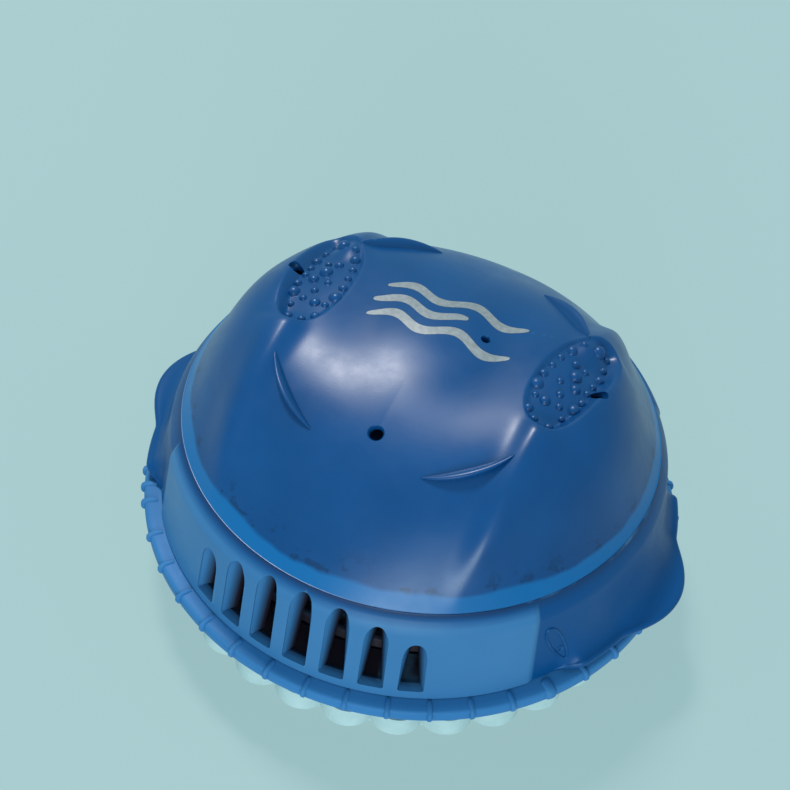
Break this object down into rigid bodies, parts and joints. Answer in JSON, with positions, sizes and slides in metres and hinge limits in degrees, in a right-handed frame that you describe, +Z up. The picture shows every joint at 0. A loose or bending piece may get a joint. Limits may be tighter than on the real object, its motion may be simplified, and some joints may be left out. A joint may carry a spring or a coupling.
{
  "type": "floating chlorine dispenser",
  "caption": "Domed floating spa dispenser with slotted skirt, ribbed twist ring, dose dial, and removable chlorine and mineral cartridges.",
  "frame": {"origin": "centre of the dial's underside, which the dispenser stands on out of the water", "axes": "+Z up through the crown, -Y towards the slotted front face, X through the two side wings"},
  "size_m": [0.172, 0.1616, 0.0935],
  "materials": {
    "holder_blue": "satin",
    "inner_blue": "satin",
    "foam": "matte",
    "cartridge_grey": "satin",
    "sleeve_white": "satin",
    "seal_rubber": "matte",
    "steel": "satin",
    "tablet": "matte",
    "mineral": "matte"
  },
  "bodies": {
    "holder": {"dome_shell": "holder_blue", "slotted_skirt": "holder_blue", "skirt_floor": "holder_blue", "seam_ledge": "holder_blue", "slot_fins": "holder_blue", "guide_tube": "inner_blue", "float_tray": "inner_blue", "float_ring": "foam"},
    "twist_ring": {"lock_ring": "holder_blue"},
    "chlorine_cartridge": {"chlorine_body": "cartridge_grey", "chlorine_cap": "cartridge_grey", "coupling_seal": "seal_rubber"},
    "dial": {"dose_dial": "cartridge_grey", "dial_rim": "cartridge_grey", "dosing_sleeve": "sleeve_white", "tablet_grid": "sleeve_white", "dial_screw": "steel", "dial_seal": "seal_rubber", "click_spring": "steel", "tablet_lower": "tablet", "tablet_middle": "tablet", "tablet_upper": "tablet"},
    "mineral_cartridge": {"mineral_body": "holder_blue", "mineral_cap": "holder_blue", "mineral_mesh": "sleeve_white", "mineral_media": "mineral"},
    "mineral_vent": {"mineral_sleeve": "inner_blue"}
  },
  "joints": [
    {"name": "ring_twist", "type": "hinge", "parent": "holder", "child": "twist_ring", "pos_m": [0, 0, 0.022], "axis": [0, 0, 1], "range_deg": [0, 25]},
    {"name": "cartridge_pull", "type": "slide", "parent": "holder", "child": "chlorine_cartridge", "axis": [0, 0, -1], "range_m": [0, 0.075]},
    {"name": "dial_turn", "type": "hinge", "parent": "chlorine_cartridge", "child": "dial", "pos_m": [0, 0, 0.0165], "axis": [0, 0, 1], "range_deg": [0, 22.5]},
    {"name": "mineral_twist", "type": "hinge", "parent": "chlorine_cartridge", "child": "mineral_cartridge", "pos_m": [0, 0, 0.06], "axis": [0, 0, 1], "range_deg": [0, 30]},
    {"name": "mineral_vent_turn", "type": "hinge", "parent": "mineral_cartridge", "child": "mineral_vent", "pos_m": [0, 0, 0.069], "axis": [0, 0, 1], "range_deg": [0, 30]}
  ]
}
